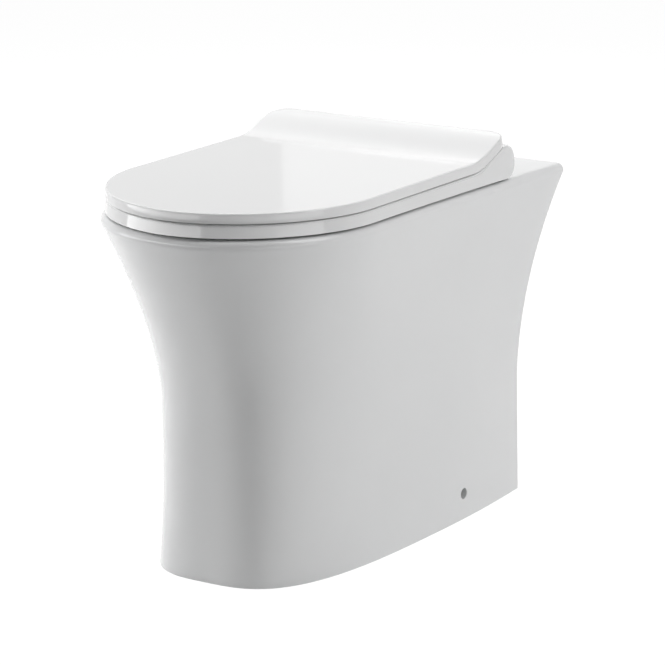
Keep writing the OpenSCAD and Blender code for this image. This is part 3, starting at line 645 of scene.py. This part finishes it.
seat = {
    "lidHalf": 0.1625, "setback": 0.0005, "lidNose": 0.157, "square": 1.9, "backGap": 0.091,
    "lidCorner": 0.028, "lidThick": 0.011, "rise": 0.0215, "riseLength": 0.079, "lidGap": 0.0014,
    "ringThick": 0.014, "ringGap": 0.0024, "wall": 0.004, "edge": 0.002, "lidDraft": 0.0013,
    "ringDraft": 0.0024, "ringProud": 0.0004, "spread": 0.006, "spreadTop": 0.001, "ringCorner": 0.010,
    "tuck": 0.020, "holeHalf": 0.104, "frontWidth": 0.062, "holeToHinge": 0.085, "holeCorner": 0.075,
    "steps": {"corner": 14, "rear": 44, "side": 14, "nose": 80},
}
buffer = {
    "x": 0.142, "fromFront": 0.145, "fromHinge": 0.115, "boss": 0.008, "stem": 0.003, "stemLength": 0.005,
}
hinge = {
    "pitch": 0.155, "up": 0.026, "in": 0.004, "postIn": 0.030, "pin": 0.004, "width": 0.026,
    "knuckle": 0.010, "knuckleRadius": 0.0085, "boss": 0.008, "bossRadius": 0.010, "notch": 0.018,
    "clear": 0.0003, "play": 0.00005,
}
ringBottom = rim + seat["ringGap"]
ringTop = ringBottom + seat["ringThick"]
lidBottom = ringTop + seat["lidGap"]
lidTop = lidBottom + seat["lidThick"]
lidFront, lidBack = noseY + seat["setback"], backY - seat["backGap"]
lidMiddle = lidFront + seat["lidNose"]
knee = lidBack - seat["riseLength"]
axisY, axisZ = lidBack - hinge["in"], rim + hinge["up"]
hinge["postY"] = axisY - hinge["postIn"]
holeBack = axisY - seat["holeToHinge"]
holeFront = lidFront + seat["frontWidth"]
holeMiddle = holeFront + seat["holeHalf"]
knuckleIn = hinge["width"] / 2 + 2 * hinge["clear"]
knuckleOut = knuckleIn + hinge["knuckle"]
notchHalf = knuckleOut + hinge["clear"]
hingeSides = (-hinge["pitch"] / 2, hinge["pitch"] / 2)
buffers = [(x, y) for x in (-buffer["x"], buffer["x"])
           for y in (lidFront + buffer["fromFront"], axisY - buffer["fromHinge"])]


def rise(y):
    # how far lid and ring lie higher at y than in front of the knee
    return seat["rise"] * smoothStep((y - knee) / seat["riseLength"])


riseAtAxis = float(rise(np.array(axisY)))
ringBackRadius = ringTop + riseAtAxis - axisZ


def ringBack(z):
    # round about the hinge axis above it, running in below it
    t = (axisZ - z) / (axisZ - ringBottom)
    above = axisY + np.sqrt(np.clip(ringBackRadius ** 2 - (z - axisZ) ** 2, 0, None))
    below = axisY + ringBackRadius - seat["tuck"] * (1 - np.sqrt(np.clip(1 - t * t, 0, 1)))
    return np.where(z > axisZ, above, below)


def ringOutline(f, inset, drop):
    # at the part f of the ring's height; its side leans in by ringDraft from the bottom to the top
    f, inset, drop = (np.atleast_1d(np.asarray(v, float)) for v in np.broadcast_arrays(f, inset, drop))
    inset = inset + seat["ringDraft"] * f - seat["ringProud"]
    z = ringBottom + f * (seat["ringThick"] + seat["rise"]) - drop
    spread = seat["spreadTop"] + (seat["spread"] - seat["spreadTop"]) * (1 - f)
    backHalf = seat["lidHalf"] + spread - inset
    return roundedD(seat["lidHalf"] - inset, lidFront + inset, lidMiddle, seat["square"], backHalf,
                    ringBack(z) - inset, seat["ringCorner"] - inset, seat["steps"], knee)


def holeOutline(grow):
    # the ring's opening, grown on every side
    grow = np.atleast_1d(np.asarray(grow, float))
    half = seat["holeHalf"] + grow
    return roundedD(half, holeFront - grow, holeMiddle, 2, half, holeBack + grow,
                    seat["holeCorner"] + grow, seat["steps"], (holeBack + holeMiddle) / 2)


def onRing(outlines, f, drop):
    # outlines lifted to the part f of the ring's height, less drop
    f, drop = column(f), column(drop)
    return atHeights(outlines, ringBottom + f * (seat["ringThick"] + rise(outlines[..., 1])) - drop)


def ringRows():
    # once round the ring's section: up its side, over the top edge, in to the hole, down the hole's edge,
    # back along the underside and down inside the side wall
    w, r = seat["wall"], seat["edge"]
    bend = quarter(7)
    rounding, lowering, top = r * (1 - np.cos(bend)), r * (1 - np.sin(bend)), np.ones(len(bend))
    side = np.concatenate([np.linspace(0, 0.2, 7)[:-1], np.linspace(0.2, 0.86, 14)])
    inside = np.linspace(0.75, 0, 12)
    shares = column(np.linspace(0, 1, 34)[1:-1] ** 1.25)[:, :, None]
    across = np.ones(len(shares))
    upper = ringOutline(1, r, 0) + (holeOutline(r) - ringOutline(1, r, 0)) * shares
    under = ringOutline(1, w, w) + (holeOutline(w) - ringOutline(1, w, w)) * shares[::-1]
    return np.concatenate([
        onRing(ringOutline(side, 0, 0), side, 0 * side),
        onRing(ringOutline(1, rounding, lowering), top, lowering),
        onRing(upper, across, 0 * across),
        onRing(holeOutline(rounding[::-1]), top, lowering[::-1]),
        onRing(holeOutline([0, w, w]), [0, 0, 1], [0, 0, w]),
        onRing(under, across, w * across),
        onRing(ringOutline(1, w, w), [1], [w]),
        onRing(ringOutline(inside, w, w), inside, 0 * inside)])


def axle(name, x, width, r):
    # round bar on the hinge axis, from x to the left
    return turnedPiece(name, [[r, 0], [r, width]], (x, axisY, axisZ), (1, 0, 0), 64)


def pinBores(reach):
    # what the hinge pins pass through, as far as reach on both sides of each hinge
    return [axle(f"bore{i}", x - reach - over, 2 * (reach + over), hinge["pin"] + hinge["play"])
            for i, x in enumerate(hingeSides)]


def makeRing():
    ring = loopPiece("seatRing", ringRows())
    ring.data.materials.append(resin)
    front, back, top = axisY - hinge["notch"], axisY + ringBackRadius + over, ringTop + seat["rise"] + 0.002
    notches = [blockPiece(f"notch{i}", (x - notchHalf, front, ringBottom - over), (x + notchHalf, back, top))
               for i, x in enumerate(hingeSides)]
    carve(ring, notches, "DIFFERENCE")

    height, r = seat["ringThick"] - seat["wall"] / 2, buffer["boss"]
    joined = [axle(f"boss{i}{x0 > 0}", x + x0, hinge["boss"], hinge["bossRadius"])
              for i, x in enumerate(hingeSides) for x0 in (-notchHalf - hinge["boss"], notchHalf)]
    joined += [turnedPiece(f"bufferBoss{i}", [[r, 0], [r, height]], (x, y, ringBottom), (0, 0, 1), 48)
               for i, (x, y) in enumerate(buffers)]
    carve(ring, joined, "UNION")

    r, depth = buffer["stem"] + hinge["play"], buffer["stemLength"] + hinge["clear"]
    stems = [turnedPiece(f"stemHole{i}", [[r, -over], [r, depth]], (x, y, ringBottom), (0, 0, 1), 32)
             for i, (x, y) in enumerate(buffers)]
    carve(ring, pinBores(notchHalf + hinge["boss"]) + stems, "DIFFERENCE")
    smoothSides(ring)
    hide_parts("seat_ring")
    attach(ring, "seat_body")
    print("seat ring:", len(ring.data.polygons), "faces")


def lidRows(inset, depth):
    # the lid's outline moved in by inset, at a depth below its top; its side leans in by lidDraft at the top
    inset, depth = column(inset), column(depth)
    inset = inset + seat["lidDraft"] * (1 - depth / seat["lidThick"])
    half = seat["lidHalf"] - inset
    outlines = roundedD(half, lidFront + inset, lidMiddle, seat["square"], half, lidBack - inset,
                        seat["lidCorner"] - inset, seat["steps"], knee)
    return atHeights(outlines, lidTop + rise(outlines[..., 1]) - depth)


def makeLid():
    # from the tray's inside round the lower edge, up the side and round the top edge; the last row lies
    # flat, so that the top shades flat
    w, r, thick = seat["wall"], seat["edge"], seat["lidThick"]
    small, lower, bend = r / 2, quarter(4)[::-1], quarter(8)
    inset = np.concatenate([[w, w], small * (1 - np.cos(lower)), r * (1 - np.cos(bend)), [r + small]])
    depth = np.concatenate([[w, thick], thick - small * (1 - np.sin(lower)), r * (1 - np.sin(bend)), [0]])
    lid = stackPiece("seatLid", lidRows(inset, depth))
    lid.data.materials.append(resin)
    radius, width = hinge["knuckleRadius"], hinge["knuckle"]
    webTop, webBack = lidTop + riseAtAxis - w / 2, axisY + hinge["in"] - r
    joined = []
    for i, x in enumerate(hingeSides):
        for x0 in (-knuckleOut, knuckleIn):
            low, high = (x + x0, axisY - radius, axisZ), (x + x0 + width, webBack, webTop)
            joined.append(axle(f"knuckle{i}{x0 > 0}", x + x0, width, radius))
            joined.append(blockPiece(f"web{i}{x0 > 0}", low, high))
    carve(lid, joined, "UNION")
    carve(lid, pinBores(knuckleOut), "DIFFERENCE")
    smoothSides(lid)
    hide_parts("lid")
    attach(lid, "lid_body")
    print("lid:", len(lid.data.polygons), "faces")


makePan()
makeRing()
makeLid()


# The CAD parts that stay get the finish of their own slot.

for subpart in frame["record"]["subparts"]:
    node = frame["nodes"].get(subpart["node"])
    if node is None or node.hide_render:
        continue
    node.data.materials.clear()
    node.data.materials.append(finishes[subpart["material_slot"]])
print("finishes given")


# Studio: white floor and surroundings, soft lamps, and the photograph's camera.

studio = {
    "floorSize": 14.0, "floorColour": 0.9, "floorWhite": 1.12, "floorWhiteShare": 0.86,
    "lens": 189.43, "sensor": 36, "camera": (2.20799, -3.10807, 1.23341),
    "right": (0.82197748, 0.56916936, -0.01998168), "up": (-0.12830219, 0.21924534, 0.96719699),
    "back": (0.55487978, -0.79245045, 0.25324041),
}
# Each light stands at a bearing from +X, seen from above, and looks at the point aim above the origin.
# A light whose gloss is off lights the object and isn't seen in its gloss. One whose matt is off is only
# seen in the gloss: the three cards in front brighten the edges of the seat. The reflections of the four
# cards behind lie across the lid, the tall card's edge as a line.
lamps = {
    "leftLamp": {"bearing": -167, "away": 2.6, "height": 0.62, "aim": 0.22, "size": (0.7, 1.1),
                 "watts": 18, "gloss": False},
    "frontLamp": {"bearing": -155, "away": 2.6, "height": 1.6, "aim": 0.22, "size": (0.7, 1.4),
                  "watts": 34, "gloss": False},
    "rightLamp": {"bearing": 16, "away": 2.6, "height": 0.5, "aim": 0.22, "size": (1.2, 0.9),
                  "watts": 17, "gloss": False},
    "slopeLamp": {"bearing": 0, "away": 1.7, "height": 2.4, "aim": 0.35, "size": (1.2, 2.0), "watts": 19},
    "topLamp": {"bearing": 90, "away": 0.2, "height": 2.8, "aim": 0.35, "size": (2.2, 2.2), "watts": 18},
    "frontCard": {"bearing": -128, "away": 2.6, "height": 0.47, "aim": 0.47, "size": (3.9, 0.65),
                  "watts": 25, "matt": False},
    "noseCard": {"bearing": -65, "away": 2.6, "height": 0.47, "aim": 0.47, "size": (2.65, 0.65),
                 "watts": 6.5, "matt": False},
    "sideCard": {"bearing": -22, "away": 2.6, "height": 0.47, "aim": 0.47, "size": (1.6, 0.65),
                 "watts": 5.8, "matt": False},
    "tallCard": {"bearing": 113.9, "away": 3.2, "height": 2.3, "aim": 2.3, "size": (1.4, 4.0), "watts": 4.2},
    "lowCard": {"bearing": 138, "away": 2.56, "height": 2.36, "aim": 0.43, "size": (1.9, 2.46),
                "watts": 5.1},
    "middleCard": {"bearing": 138, "away": 2.42, "height": 2.53, "aim": 0.43, "size": (1.9, 2.2),
                   "watts": 5.9},
    "highCard": {"bearing": 138, "away": 2.18, "height": 2.77, "aim": 0.43, "size": (1.9, 1.84),
                 "watts": 4.9},
}


def straightView(tree):
    # 1 for rays from the camera, off gloss or through glass, 0 for the light that falls on the object
    path = tree.nodes.new("ShaderNodeLightPath")
    seen = path.outputs["Is Camera Ray"]
    for kind in ("Is Glossy Ray", "Is Transmission Ray"):
        either = tree.nodes.new("ShaderNodeMath")
        either.operation = "MAXIMUM"
        tree.links.new(seen, either.inputs[0])
        tree.links.new(path.outputs[kind], either.inputs[1])
        seen = either.outputs[0]
    return seen


def makeWorld():
    # white where it is seen; the light that falls on the object comes from the lamps alone
    world = bpy.data.worlds.new("studio")
    world.use_nodes = True
    scene.world = world
    tree = world.node_tree
    tree.nodes.clear()
    background = tree.nodes.new("ShaderNodeBackground")
    background.inputs["Color"].default_value = (1, 1, 1, 1)
    tree.links.new(straightView(tree), background.inputs["Strength"])
    out = tree.nodes.new("ShaderNodeOutputWorld")
    tree.links.new(background.outputs[0], out.inputs["Surface"])


def makeFloor():
    # pale paint, most of it seen as plain white, so that only a faint shadow shows
    half = studio["floorSize"] / 2
    mesh = bpy.data.meshes.new("floor")
    corners = [(-half, -half, 0), (half, -half, 0), (half, half, 0), (-half, half, 0)]
    mesh.from_pydata(corners, [], [(0, 1, 2, 3)])
    floor = linked("floor", mesh)
    paint = Finish("floorPaint", Roughness=0.9, Specular_IOR_Level=0.1)
    paint.clouded(paint.noise(2, 2), [studio["floorColour"] - 0.01] * 3, [studio["floorColour"]] * 3)
    share = Wire(paint, straightView(paint.tree)) * studio["floorWhiteShare"]
    white = paint.add("ShaderNodeEmission", {}, {"Strength": studio["floorWhite"]})
    mix = paint.add("ShaderNodeMixShader", {}, {0: share, 1: Wire(paint, paint.shader.outputs[0]), 2: white})
    paint.tree.links.new(mix.socket, paint.output.inputs["Surface"])
    mesh.materials.append(paint.material)


def makeLamps():
    for name, lamp in lamps.items():
        data = bpy.data.lights.new(name, "AREA")
        data.shape = "RECTANGLE"
        data.size, data.size_y = lamp["size"]
        data.energy = lamp["watts"]
        light = bpy.data.objects.new(name, data)
        bearing = math.radians(lamp["bearing"])
        place = Vector((lamp["away"] * math.cos(bearing), lamp["away"] * math.sin(bearing), lamp["height"]))
        look = (Vector((0, 0, lamp["aim"])) - place).to_track_quat("-Z", "Y")
        light.matrix_world = Matrix.Translation(place) @ look.to_matrix().to_4x4()
        light.visible_glossy = lamp.get("gloss", True)
        light.visible_diffuse = lamp.get("matt", True)
        scene.collection.objects.link(light)


def makeCamera():
    data = bpy.data.cameras.new("camera")
    data.lens = studio["lens"]
    data.sensor_width = studio["sensor"]
    camera = bpy.data.objects.new("camera", data)
    turn = Matrix([studio[side] for side in ("right", "up", "back")]).transposed()
    camera.matrix_world = Matrix.Translation(studio["camera"]) @ turn.to_4x4()
    scene.collection.objects.link(camera)
    scene.camera = camera
    scene.view_settings.view_transform = "Standard"


makeWorld()
makeFloor()
makeLamps()
makeCamera()
print("studio made")
